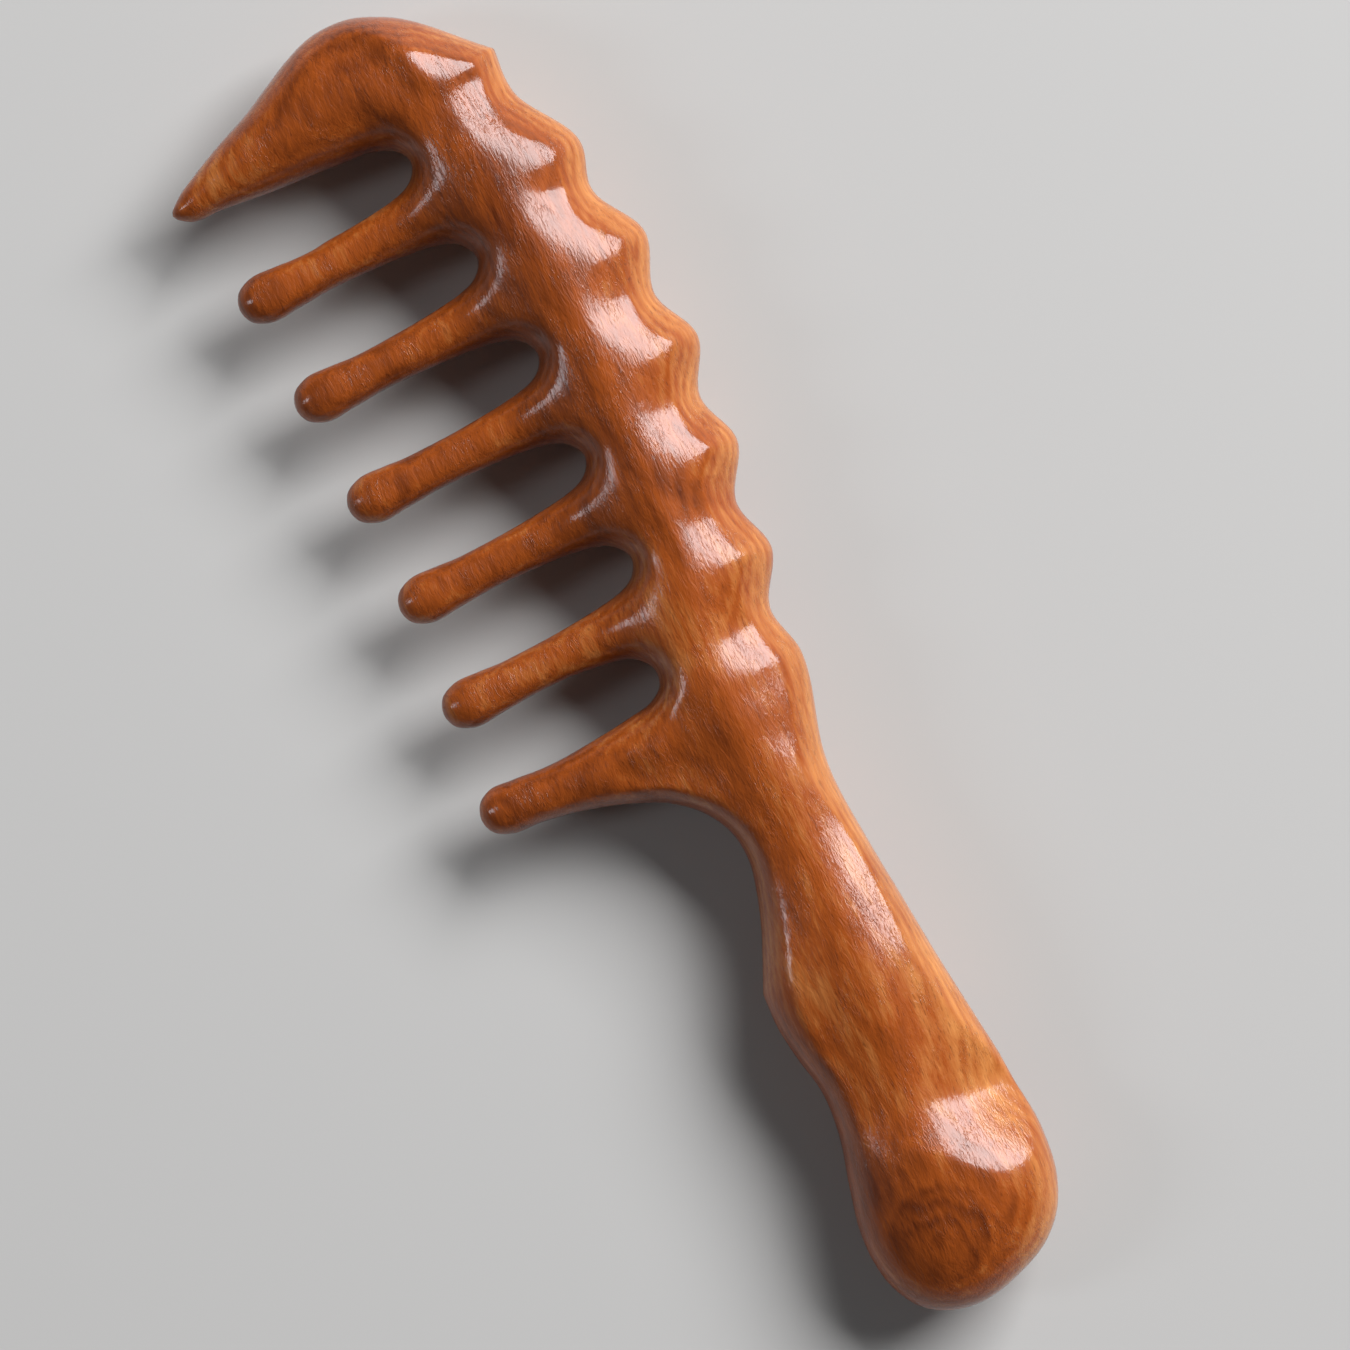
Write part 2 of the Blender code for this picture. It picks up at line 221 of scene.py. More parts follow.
# Distances from the outline, in cells: the least that is told from none, the least at which the
# membrane's steepness can be read, and the width of the rim that is drawn from that steepness.
LEAST_GAP = 0.02
READABLE = 0.6
RIM = 2.5

# The steepness spreads outwards by a cell in each rim round, and the height beyond the rim is low.
RIM_ROUNDS = 6
FAR_OUTSIDE = -1.0


def inside_outline(outline):
    """True at the grid points inside the closed outline: on each row, those with an odd number
    of its edges to their left."""
    a, b = outline, np.roll(outline, -1, 0)
    inside = np.zeros(GX.shape, bool)
    for j, y in enumerate(Y + ROW_NUDGE):
        crossing = (a[:, 1] > y) != (b[:, 1] > y)
        t = (y - a[crossing, 1]) / (b[crossing, 1] - a[crossing, 1])
        at = np.sort(a[crossing, 0] + t * (b[crossing, 0] - a[crossing, 0]))
        inside[:, j] = np.searchsorted(at, X) % 2 == 1
    return inside


def nearest_on(path, closed):
    """For each grid point: the distance to the path, and the nearest place on it, counted in
    points along the path."""
    tree = kdtree.KDTree(len(path))
    for i, (x, y) in enumerate(path):
        tree.insert((x, y, 0), i)
    tree.balance()
    near = np.array([tree.find((x, y, 0))[1] for x, y in zip(GX.ravel(), GY.ravel())])
    near = near.reshape(GX.shape)
    place = np.stack([GX, GY], -1)
    distance, where = np.full(GX.shape, np.inf), near.astype(float)
    for side in (-1, 0):
        i = near + side
        j = i + 1
        if closed:
            i, j = i % len(path), j % len(path)
        else:
            i, j = np.clip(i, 0, len(path) - 1), np.clip(j, 0, len(path) - 1)
        edge = path[j] - path[i]
        along = ((place - path[i]) * edge).sum(-1) / np.maximum((edge**2).sum(-1), TINY)
        t = np.clip(along, 0, 1)
        d = np.linalg.norm(place - path[i] - t[..., None] * edge, axis=-1)
        closer = d < distance
        distance = np.where(closer, d, distance)
        where = np.where(closer, i + t, where)
    return distance, where


def neighbours(field):
    """The field's values at each grid point's four neighbours."""
    return (np.roll(field, 1, 0), np.roll(field, -1, 0), np.roll(field, 1, 1), np.roll(field, -1, 1))


def inflate(inside, distance):
    """The height of a membrane that is blown up inside the outline, and the distance from the
    outline, below 0 outside it. The height reaches 0 on the outline itself, between grid points
    too, and goes on down outside it, so that its square root is a round section."""
    least = LEAST_GAP * CELL
    weight = np.full(GX.shape, 4 + (SWELL * CELL) ** 2)
    for there, far in zip(neighbours(inside), neighbours(distance)):
        weight += np.where(there, 0, far / np.maximum(distance, least))
    height = np.zeros(GX.shape)
    for _ in range(SOLVER_ROUNDS):
        height = np.where(inside, (CELL**2 + sum(neighbours(height))) / weight, 0)
    known = inside & (distance > READABLE * CELL)
    steepness = np.where(known, height / np.maximum(distance, least), 0)
    for _ in range(RIM_ROUNDS):
        count = sum(n.astype(float) for n in neighbours(known))
        around = sum(neighbours(steepness)) / np.maximum(count, 1)
        steepness = np.where(known, steepness, around)
        known = known | (count > 0)
    signed = np.where(inside, distance, -distance)
    beyond_rim = np.where(inside, height, FAR_OUTSIDE)
    return np.where(distance < RIM * CELL, steepness * signed, beyond_rim), signed


def blur(field, rounds):
    """The field with each value mixed half and half with its four neighbours', so many times."""
    for _ in range(rounds):
        field = (field * 4 + sum(neighbours(field))) / 8
    return field


def soft_min(a, b, soft):
    """The smaller of two fields, with the crease where they meet rounded off over soft."""
    h = np.clip(0.5 + 0.5 * (b - a) / soft, 0, 1)
    return b + (a - b) * h - soft * h * (1 - h)


def soft_max(a, b, soft):
    """The larger of two fields, rounded off in the same way."""
    return -soft_min(-a, -b, soft)


# ---- the relief of the face ----------------------------------------------------------------

# The crest line that the face falls away from: (x, y, height over the mid-plane, drop towards
# the teeth, width of its round top).
CREST = (
    (14.0, -3.2, 10.4, 3.5, 26.0),
    (29.0, -5.2, 7.8, 3.0, 5.0),
    (46.0, -7.0, 8.7, 3.0, 4.2),
    (66.0, -7.0, 7.1, 2.4, 4.0),
    (80.0, -6.3, 7.9, 3.2, 3.6),
    (90.0, -5.0, 8.5, 5.6, 4.0),
    (104.0, -7.2, 8.8, 6.0, 4.0),
    (120.0, -8.4, 8.9, 6.0, 4.8),
    (135.0, -8.6, 8.9, 6.0, 5.2),
    (150.0, -7.6, 8.9, 6.0, 5.2),
    (164.0, -5.4, 8.8, 6.0, 4.8),
    (173.2, -4.1, 8.0, 5.6, 4.0),
    (178.5, -3.9, 8.5, 5.6, 4.0),
    (190.0, -3.4, 7.2, 3.5, 4.0),
)
CREST_STEP = 1.0

# The crests of the horn and the guard tooth: (x, y, height). Then how wide their round tops are,
# and how softly they join the rest of the face.
HORN_CREST = (
    (172.0, -4.0, 7.4), (177.8, 3.0, 8.0), (179.6, 10.0, 7.2), (178.8, 20.0, 5.4), (176.2, 32.0, 2.8),
)
GUARD_CREST = ((84.0, -5.0, 8.1), (86.0, 4.0, 6.4), (86.2, 12.0, 4.8), (86.0, 26.0, 3.5))
BRANCH_BEND = 6.0
BRANCH_SOFT = 0.8

# How steeply the face falls away behind a crest, on the handle by x, and how strongly it curves
# down in front of the main one.
FALL_SLOPE = 0.5
HANDLE_FALL = ((14, 0.9), (36, FALL_SLOPE))
FRONT_CURVE = 0.052

# The face rises at each knob and sinks at each valley: the wave's depth, the share of it that is
# above the crest's own height, how far behind the crest it is full, how much of it the crest
# itself has, and how deep it is at the back's corner.
WAVE_DEPTH = 1.2
WAVE_LEVEL = 0.3
WAVE_REACH = 7.0
CREST_WAVE = 0.25
CORNER_WAVE = 0.2

# The flat facet on the horn's outer side, which falls away beyond a line through the point.
FACET_POINT = (176.5, -4.9)
FACET_NORMAL = (0.5, -0.866)
FACET_TOP = 8.4
FACET_SLOPE = 0.45
FACET_SOFT = 0.4

# How softly the face meets the board's flat, and how often it is blurred after that.
FLAT_SOFT = 0.15
FACE_BLUR = 2

# The edge's two sections, as squares of the half thickness. The round one is the membrane times
# ROUND, and fuller by x below the slots. The chamfer is EDGE_STEEP, by x, times the distance in
# from the outline, which rounds its rim, plus EDGE_STRAIGHT times the square of that distance.
ROUND = 2
FULLNESS = ((55, 0.2), (85, 1.1))
FULLNESS_FADE = ((-3, 1), (7, 0))
EDGE_STEEP = ((30, 9.0), (58, 17.0), (76, 10.0), (90, 8.2), (170, 8.2), (180, 11.0))
EDGE_STRAIGHT = 0.47

# The round section turns into the chamfer from BODY in front of the crest to CHAMFER_FULL behind
# it, or so far round a line FACET_LEAD beyond the facet's start, and only away from the bulb.
BODY = 3.5
CHAMFER_FULL = 3
FACET_LEAD = 1
CHAMFER_START = ((14, 0), (40, 1))

# How softly the edge meets the face, by x, and how much more so in front of the crest, by x too,
# but only up to the roots of the teeth.
RIM_SOFT = ((0, 9), (25, 7), (45, 2.5), (190, 2))
FRONT_SOFT = ((50, 0), (85, 14))
FRONT_FADE = ((1, 1), (7, 0))
FRONT_RAMP = 3


def fall(q, bend, slope=FALL_SLOPE):
    """How far the face has dropped at a distance q from a crest whose round top is bend wide."""
    return slope * q * q / (q + bend)


def crest_line(crest, axis):
    """For each grid point: its distance to the crest, the nearest place there, and the crest's
    further columns at that place, read along x (axis 0) or y (axis 1)."""
    path = smooth_path([point[:2] for point in crest], False, CREST_STEP)
    distance, where = nearest_on(path, False)
    place = [np.interp(where, np.arange(len(path)), path[:, k]) for k in (0, 1)]
    columns = [
        eased(place[axis], [(point[axis], point[k]) for point in crest])
        for k in range(2, len(crest[0]))
    ]
    return distance, place, columns


def main_relief():
    """The face of the head and handle, and each grid point's distance behind the crest, which is
    below 0 in front of it."""
    q, place, (height, drop, bend) = crest_line(CREST, 0)
    behind = GY < place[1]
    crests = [(x, 0) for x, _ in KNOBS]
    troughs = [(x, 1) for x, _ in VALLEYS]
    wave = eased(GX, crests + troughs + [(BACK_CORNER[0], CORNER_WAVE)])
    wave = WAVE_DEPTH * (wave - WAVE_LEVEL) * eased(GX, ((VALLEYS[0][0], 0), (KNOBS[0][0], 1)))
    grow = CREST_WAVE + (1 - CREST_WAVE) * ease(np.clip(q / WAVE_REACH, 0, 1))
    fade = CREST_WAVE * ease(np.clip(1 - q / WAVE_REACH, 0, 1))
    back = height - fall(q, bend, eased(GX, HANDLE_FALL)) - wave * grow
    front = height - drop * (1 - np.exp(-FRONT_CURVE * q * q / drop)) - wave * fade
    return np.where(behind, back, front), np.where(behind, q, -q)


def branch_relief(crest):
    """The face of the horn or the guard tooth, which falls away on both sides of its crest."""
    q, _, (height,) = crest_line(crest, 1)
    return height - fall(q, BRANCH_BEND)


def facet_reach():
    """The distance of each grid point beyond the line where the horn's outer facet starts."""
    return FACET_NORMAL[0] * (GX - FACET_POINT[0]) + FACET_NORMAL[1] * (GY - FACET_POINT[1])


def face_relief(reach):
    """The height of the whole face, and each grid point's distance behind the crest."""
    face, behind = main_relief()
    face = soft_max(face, branch_relief(GUARD_CREST), BRANCH_SOFT)
    face = soft_max(face, branch_relief(HORN_CREST), BRANCH_SOFT)
    face = soft_min(face, FACET_TOP - FACET_SLOPE * reach, FACET_SOFT)
    return blur(soft_min(face, BOARD_HALF, FLAT_SOFT), FACE_BLUR), behind


def edge_relief(roll, signed, behind, reach):
    """The square of the half thickness that the edge allows."""
    rounded = (ROUND + eased(GX, FULLNESS) * eased(GY, FULLNESS_FADE)) * roll
    chamfered = eased(GX, EDGE_STEEP) * signed + EDGE_STRAIGHT * signed * np.abs(signed)
    past = (np.maximum(behind, reach - FACET_LEAD) + BODY) / (BODY + CHAMFER_FULL)
    backward = ease(np.clip(past, 0, 1)) * eased(GX, CHAMFER_START)
    return rounded + (chamfered - rounded) * backward


def sculpt():
    """The square of the comb's half thickness over the grid, below 0 outside the outline."""
    outline = comb_outline()
    distance, _ = nearest_on(outline, True)
    roll, signed = inflate(inside_outline(outline), distance)
    reach = facet_reach()
    face, behind = face_relief(reach)
    edge = edge_relief(roll, signed, behind, reach)
    in_front = ease(np.clip(-behind / FRONT_RAMP, 0, 1))
    soft = eased(GX, RIM_SOFT) + eased(GX, FRONT_SOFT) * eased(GY, FRONT_FADE) * in_front
    return soft_min(edge, face**2, soft)


# ---- the surface ---------------------------------------------------------------------------

SETTLE_ROUNDS = 3
RELAX_ROUNDS = 2
RELAX_SETTLE_ROUNDS = 2

# The least squared slope that a point is moved by, so that it can't be thrown far where it's flat.
LEAST_SLOPE = 1e-6


def lattice_surface(square):
    """A closed quad surface over z = +-sqrt(square), with one vertex in each lattice cell that
    the surface crosses: its points and its quads."""
    half = math.ceil(BOARD_HALF / CELL) + 1
    z = (np.arange(-half, half) + 0.5) * CELL
    value = z[None, None, :] ** 2 - square[:, :, None]
    shape = tuple(n - 1 for n in value.shape)
    total, count = np.zeros(shape + (3,)), np.zeros(shape)
    corner = np.stack(np.meshgrid(X, Y, z, indexing="ij"), -1)
    crossings = []
    for axis in range(3):
        low = [slice(None)] * 3
        high = [slice(None)] * 3
        low[axis], high[axis] = slice(None, -1), slice(1, None)
        a, b = value[tuple(low)], value[tuple(high)]
        crossed = (a < 0) != (b < 0)
        t = np.where(crossed, a / np.where(crossed, a - b, 1), 0)
        at = corner[tuple(low)].copy()
        at[..., axis] += t * CELL
        others = [k for k in range(3) if k != axis]
        for du in (0, 1):
            for dv in (0, 1):
                take = [slice(None)] * 3
                for k, d in zip(others, (du, dv)):
                    take[k] = slice(d, d + shape[k])
                take = tuple(take)
                total += np.where(crossed[take][..., None], at[take], 0)
                count += crossed[take]
        crossings.append((axis, others, crossed, a < 0))
    active = count > 0
    index = np.full(shape, -1)
    index[active] = np.arange(active.sum())
    points = total[active] / count[active][:, None]
    return points, lattice_quads(crossings, index)


def lattice_quads(crossings, index):
    """A quad round each lattice edge that the surface crosses, facing out of the solid."""
    quads = []
    for axis, (u, v), crossed, inside_low in crossings:
        i = np.argwhere(crossed)
        ring = []
        for du, dv in ((0, 0), (1, 0), (1, 1), (0, 1)):
            cell = i.copy()
            cell[:, u] -= 1 - du
            cell[:, v] -= 1 - dv
            ring.append(index[tuple(cell.T)])
        quad = np.stack(ring, 1)
        flip = inside_low[crossed] == (axis == 1)
        quad[flip] = quad[flip][:, ::-1]
        quads.append(quad)
    return np.concatenate(quads)


def grid_place(coordinates, line):
    """The grid cell that each coordinate is in, along one axis, and its share of the cell."""
    place = np.clip((coordinates - line[0]) / CELL, 0, len(line) - 1.001)
    cell = place.astype(int)
    return cell, place - cell


def sample(field, points):
    """A grid field at the points, read smoothly between the grid points."""
    i, u = grid_place(points[:, 0], X)
    j, v = grid_place(points[:, 1], Y)
    low = field[i, j] * (1 - u) + field[i + 1, j] * u
    return low * (1 - v) + (field[i, j + 1] * (1 - u) + field[i + 1, j + 1] * u) * v


class Surface:
    """The implicit surface z^2 = square(x, y)."""

    def __init__(self, square):
        self.square = square
        self.slope_x, self.slope_y = np.gradient(square, CELL)

    def outward(self, points):
        """The direction out of the solid at the points, as long as the slope there."""
        slope_x, slope_y = sample(self.slope_x, points), sample(self.slope_y, points)
        return np.stack([-slope_x, -slope_y, 2 * points[:, 2]], 1)

    def settle(self, points, rounds):
        """The points, moved onto the surface."""
        for _ in range(rounds):
            out = self.outward(points)
            miss = points[:, 2] ** 2 - sample(self.square, points)
            points = points - out * (miss / np.maximum((out**2).sum(1), LEAST_SLOPE))[:, None]
        return points

    def normals(self, points):
        """The unit normals at the points."""
        out = self.outward(points)
        return out / np.linalg.norm(out, axis=1)[:, None]


def relax(points, quads, surface):
    """Evens out the quads: moves each vertex half way to its neighbours' middle, and back onto
    the surface."""
    for _ in range(RELAX_ROUNDS):
        total, count = np.zeros_like(points), np.zeros(len(points))
        for k in range(4):
            for n in (quads[:, (k + 1) % 4], quads[:, k - 1]):
                for c in range(3):
                    total[:, c] += np.bincount(quads[:, k], points[n, c], len(points))
                count += np.bincount(quads[:, k], minlength=len(points))
        points = surface.settle((points + total / count[:, None]) / 2, RELAX_SETTLE_ROUNDS)
    return points


# ---- sawing into pieces --------------------------------------------------------------------

HANDLE_SAW_X = 70.0
HORN_SAW_X = 170.5
GUARD_SAW = (70.6, 1.5)
SAW_RISE = 1.2
SAW_REACH = 2.0
SAW_SNAP = 1e-5


def saw_cuts():
    """For each joint: a point on the saw's plane, its normal, and the stretch of x in which it
    cuts. The teeth are sawn off along the line through points just above the slots' bottoms."""
    cuts = [((x, 0), (1, 0), (x - SAW_REACH, x + SAW_REACH)) for x in (HANDLE_SAW_X, HORN_SAW_X)]
    ends = [GUARD_SAW] + [(x, y + SAW_RISE) for x, y in SLOT_BOTTOMS]
    for (x0, y0), (x1, y1) in zip(ends, ends[1:]):
        cuts.append(((x0, y0), (y0 - y1, x1 - x0), (x0, x1)))
    return cuts


def saw(bm, point, normal, stretch):
    """Cuts the surface along a plane square to the face, only in a stretch of x, and parts the
    two sides."""
    low, high = stretch
    faces = [f for f in bm.faces if all(low <= v.co.x <= high for v in f.verts)]
    edges = list(dict.fromkeys(e for f in faces for e in f.edges))
    verts = list(dict.fromkeys(v for f in faces for v in f.verts))
    cut = bmesh.ops.bisect_plane(
        bm,
        geom=verts + edges + faces,
        plane_co=(*point, 0),
        plane_no=Vector((*normal, 0)).normalized(),
        dist=SAW_SNAP,
    )
    seam = [e for e in cut["geom_cut"] if isinstance(e, bmesh.types.BMEdge)]
    bmesh.ops.split_edges(bm, edges=seam)


def shells(bm):
    """The connected parts of the mesh, as lists of faces."""
    seen, found = set(), []
    for first in bm.faces:
        if first in seen:
            continue
        seen.add(first)
        part = [first]
        for face in part:
            for edge in face.edges:
                for other in edge.link_faces:
                    if other not in seen:
                        seen.add(other)
                        part.append(other)
        found.append(part)
    return found


def node_at(point):
    """The CAD node whose box holds the point, the smallest if several do."""
    best = None
    for name in frame["nodes"]:
        low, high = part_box(name)
        if all(low[k] - MM <= point[k] <= high[k] + MM for k in range(3)):
            size = (high - low).length
            if best is None or size < best[0]:
                best = (size, name)
    return best[1]


def capped(faces):
    """A closed mesh of the faces, with a flat cap over each sawn end. Also the number of faces
    that come before the caps, and the vertices' places."""
    order = {}
    for f in faces:
        for v in f.verts:
            order.setdefault(v, len(order))
    points = np.array([v.co for v in order], float)
    bm = bmesh.new()
    verts = [bm.verts.new(p) for p in points]
    for f in faces:
        bm.faces.new([verts[order[v]] for v in f.verts])
    skin = len(bm.faces)
    bmesh.ops.holes_fill(bm, edges=[e for e in bm.edges if e.is_boundary], sides=0)
    bm.faces.ensure_lookup_table()
    bmesh.ops.triangulate(bm, faces=bm.faces[skin:])
    bmesh.ops.recalc_face_normals(bm, faces=bm.faces)
    bm.normal_update()
    return bm, skin, points


def piece_from(faces, surface):
    """The CAD node and the finished piece that stands for it. Its skin is shaded with the
    sculpted surface's own normals, and its caps are shaded flat."""
    bm, skin, points = capped(faces)
    normals = surface.normals(points)
    bm.verts.index_update()
    bm.faces.ensure_lookup_table()
    corners = []
    for k, f in enumerate(bm.faces):
        f.smooth = True
        for v in f.verts:
            corners.append(tuple(normals[v.index]) if k < skin else tuple(f.normal))
    for v in bm.verts:
        v.co = v.co * MM + BENCH_ORIGIN
    name = node_at(Vector(points.mean(0)) * MM + BENCH_ORIGIN)
    mesh = bpy.data.meshes.new(name + "_shape")
    bm.to_mesh(mesh)
    bm.free()
    mesh.normals_split_custom_set(corners)
    piece = bpy.data.objects.new(name + "_wood", mesh)
    bpy.context.scene.collection.objects.link(piece)
    return name, piece


def comb_pieces():
    """{CAD node: the finished piece that stands for it}"""
    surface = Surface(sculpt())
    points, quads = lattice_surface(surface.square)
    points = relax(surface.settle(points, SETTLE_ROUNDS), quads, surface)
    bm = bmesh.new()
    verts = [bm.verts.new(p) for p in points]
    for q in quads:
        bm.faces.new([verts[i] for i in q])
    for cut in saw_cuts():
        saw(bm, *cut)
    pieces = dict(piece_from(part, surface) for part in shells(bm))
    bm.free()
    return pieces


# ---- the wood ------------------------------------------------------------------------------

# Sizes in the wood are in millimetres: its fibres run along X, and its growth layers lie along
# the face. A grain is noise: (length along the fibres, width across them, detail, distortion).
FINE = (4.0, 1.1, 3.0, 0.6)
FIBRES = (8.0, 0.6, 4.0, 0.4)
PORES = (2.2, 0.3, 2.0, 0.3)
BLOTCHES = (30.0, 14.0, 3.0, 0.5)
RIPPLE = (2.2, 0.6, 3.0, 1.2)
DASHES = (1.8, 0.36, 1.0, 1.6)
DASH_PATCHES = (7.0, 4.0, 1.0, 0.0)
WARP = (26.0, 9.0, 2.0, 0.0)
NOISE_ROUGHNESS = 0.6

# The stretch of each grain's noise that is widened to 0 to 1.
FIBRE_RANGE = (0.3, 0.7)
PORE_RANGE = (0.60, 0.72)
BLOTCH_RANGE = (0.32, 0.68)
DASH_RANGE = (0.55, 0.65)
PATCH_RANGE = (0.46, 0.6)

# A growth layer's thickness, and how far the layers are warped by the slow and the fine grain.
LAYER = 1.5
LAYER_WARP = 6.0
FINE_WARP = 0.7

# The knot in the handle's end: its centre and radius, where the layers stop bending round it, how
# strongly they do, and how wide its own edge and the pale ring round it are.
KNOT_NODE = "handle"
KNOT = (11.0, -1.7)
KNOT_RADIUS = 6.7
KNOT_REACH = KNOT_RADIUS + 1.5
KNOT_PULL = 0.6
KNOT_EDGE = 0.9
KNOT_RING = 3.0

# What each feature adds to the wood's tone, which runs from dark at 0 to pale at 1.
KNOT_TONE = -0.24
RING_TONE = 0.14
LAYER_TONE = 0.07
FIBRE_TONE = 0.17
FINE_TONE = 0.16
BLOTCH_TONE = 0.38
# Partly painted light: the middle and back tones brighten the edge strips, most of all the back one
# that faces the key.
INNER_WOOD_AND_PAINTED_EDGE_LIGHT_TONE = 0.12
BACK_WOOD_AND_PAINTED_LIGHT_TONE = 0.27

# The wood gets paler by the middle tone between these heights over the mid-plane, and there by
# the back tone too between these places in y, towards the back's edge. This is partly a paler wood
# low in the board and along its back. It is partly painted light: the edge strips, and most of all
# the back one that faces the key light, are made brighter than the lamps alone make them.
FACE_DEPTH = (8.7, 3.0)
BACK_EDGE = (0.0, -13.0)

WOOD_COLOURS = ((0.09, 0.0155, 0.0025), (0.35, 0.073, 0.0085), (0.64, 0.25, 0.066))
MIDDLE_STOP = 0.5
PORE_DARKNESS = 0.45

# How bright each slot's wood is, beside the back's.
SHADES = {"guard_wood": 0.98, "tooth_wood": 0.95}

# The polish: heights of the pores and dashes in the ripple, the ripple's depth in the wood and in
# the gloss, and the wood's roughness, with what the fibres add to it.
PORE_HEIGHT = -0.12
DASH_HEIGHT = 0.4
WOOD_BUMP = 0.12 * MM
GLOSS_BUMP = 0.04 * MM
ROUGHNESS = 0.3
FIBRE_ROUGHNESS = 0.2


class Nodes:
    """Adds shader nodes to a material or world, with inputs set to values or wired to nodes."""

    def __init__(self, owner):
        self.tree = owner.node_tree

    def wire(self, socket, value):
        """Links the socket to an output, or sets it to a plain value."""
        if isinstance(value, bpy.types.NodeSocket):
            self.tree.links.new(value, socket)
        else:
            socket.default_value = value

    def add(self, kind, inputs, **settings):
        """A new node of that kind, with its settings made before its inputs are wired."""
        node = self.tree.nodes.new("ShaderNode" + kind)
        for name, value in settings.items():
            setattr(node, name, value)
        for key, value in inputs.items():
            self.wire(node.inputs[key], value)
        return node

    def maths(self, operation, *values):
        return self.add("Math", dict(enumerate(values)), operation=operation).outputs[0]

    def plus(self, a, b):
        return self.maths("ADD", a, b)

    def times(self, a, b):
        return self.maths("MULTIPLY", a, b)

    def weighed(self, parts):
        """The sum of the (value, weight) parts."""
        total = 0.0
        for value, weight in parts:
            total = self.plus(self.times(value, weight), total)
        return total

    def moved(self, place, offset, scale):
        """The place, scaled and then moved by the offset."""
        return self.add("Mapping", {"Vector": place, "Location": offset, "Scale": scale}).outputs[0]

    def grain(self, place, length, width, detail, bend):
        """Noise from 0 to 1 in blotches of that length along the fibres and width across them."""
        inputs = {
            "Vector": self.moved(place, (0, 0, 0), (1 / length, 1 / width, 1 / width)),
            "Scale": 1.0,
            "Detail": detail,
            "Roughness": NOISE_ROUGHNESS,
            "Distortion": bend,
        }
        return self.add("TexNoise", inputs).outputs[0]

    def spread(self, value, low, high):
        """The value's stretch from low to high, widened to 0 to 1."""
        return self.add("MapRange", {"Value": value, "From Min": low, "From Max": high}).outputs[0]

    def bump(self, height, distance):
        return self.add("Bump", {"Height": height, "Distance": distance}).outputs[0]


def knot_parts(nodes, place, fine):
    """How far the knot pushes the layers, and the parts of the wood's tone that it adds."""
    flat = nodes.moved(place, (-KNOT[0], -KNOT[1], 0), (1, 1, 0))
    length = nodes.add("VectorMath", {0: flat}, operation="LENGTH").outputs["Value"]
    radius = nodes.plus(length, fine)
    push = nodes.plus(nodes.maths("MINIMUM", radius, KNOT_REACH), -KNOT_REACH)
    disc = nodes.spread(radius, KNOT_RADIUS + KNOT_EDGE, KNOT_RADIUS)
    ring = nodes.spread(radius, KNOT_RADIUS + KNOT_RING, KNOT_RADIUS)
    return nodes.times(push, KNOT_PULL), [(disc, KNOT_TONE), (ring, RING_TONE)]


def wood_tone(nodes, place, fine, fibres, knot):
    """The wood's tone from dark to pale: growth layers that draw ovals and lines wherever the
    carved surface cuts them, over fibres and blotches, and paler inside the board and at its back.
    That paleness is partly paler wood and partly painted light on the edge strips, most on the back
    one."""
    _, across, height = nodes.add("SeparateXYZ", {0: place}).outputs
    slow = nodes.times(nodes.grain(place, *WARP), LAYER_WARP)
    depth = nodes.plus(height, nodes.plus(slow, nodes.times(fine, FINE_WARP)))
    parts = []
    if knot:
        push, parts = knot_parts(nodes, place, fine)
        depth = nodes.plus(depth, push)
    layers = nodes.maths("SINE", nodes.times(depth, 2 * math.pi / LAYER))
    parts.append((layers, LAYER_TONE))
    parts.append((nodes.spread(fibres, *FIBRE_RANGE), FIBRE_TONE))
    parts.append((nodes.spread(fine, *FIBRE_RANGE), FINE_TONE))
    parts.append((nodes.spread(nodes.grain(place, *BLOTCHES), *BLOTCH_RANGE), BLOTCH_TONE))
    # Painted light in part: the edge strips are made paler, most of all along the back edge that faces
    # the key light, on top of a paler wood inside the board.
    pale = nodes.maths("MULTIPLY_ADD", nodes.spread(across, *BACK_EDGE), BACK_WOOD_AND_PAINTED_LIGHT_TONE, INNER_WOOD_AND_PAINTED_EDGE_LIGHT_TONE)
    parts.append((nodes.spread(nodes.maths("ABSOLUTE", height), *FACE_DEPTH), pale))
    return nodes.weighed(parts)


def wood_colour(nodes, tone, pores, shade):
    """The tone's colour, darkened in the pores."""
    ramp = nodes.add("ValToRGB", {0: tone})
    stops = ramp.color_ramp.elements
    stops.new(MIDDLE_STOP)
    for stop, colour in zip(stops, WOOD_COLOURS):
        stop.color = (*(c * shade for c in colour), 1)
    darkness = nodes.times(pores, PORE_DARKNESS)
    inputs = {"Factor": darkness, "A": ramp.outputs[0], "B": (*WOOD_COLOURS[0], 1)}
    return nodes.add("Mix", inputs, data_type="RGBA").outputs["Result"]


def polish_ripple(nodes, place, pores):
    """The height of the polish: a fine ripple, sunk pores, and patches of short raised dashes."""
    dashes = nodes.spread(nodes.grain(place, *DASHES), *DASH_RANGE)
    patches = nodes.spread(nodes.grain(place, *DASH_PATCHES), *PATCH_RANGE)
    dashes = nodes.times(dashes, patches)
    ripple = nodes.plus(nodes.grain(place, *RIPPLE), nodes.times(pores, PORE_HEIGHT))
    return nodes.plus(ripple, nodes.times(dashes, DASH_HEIGHT))


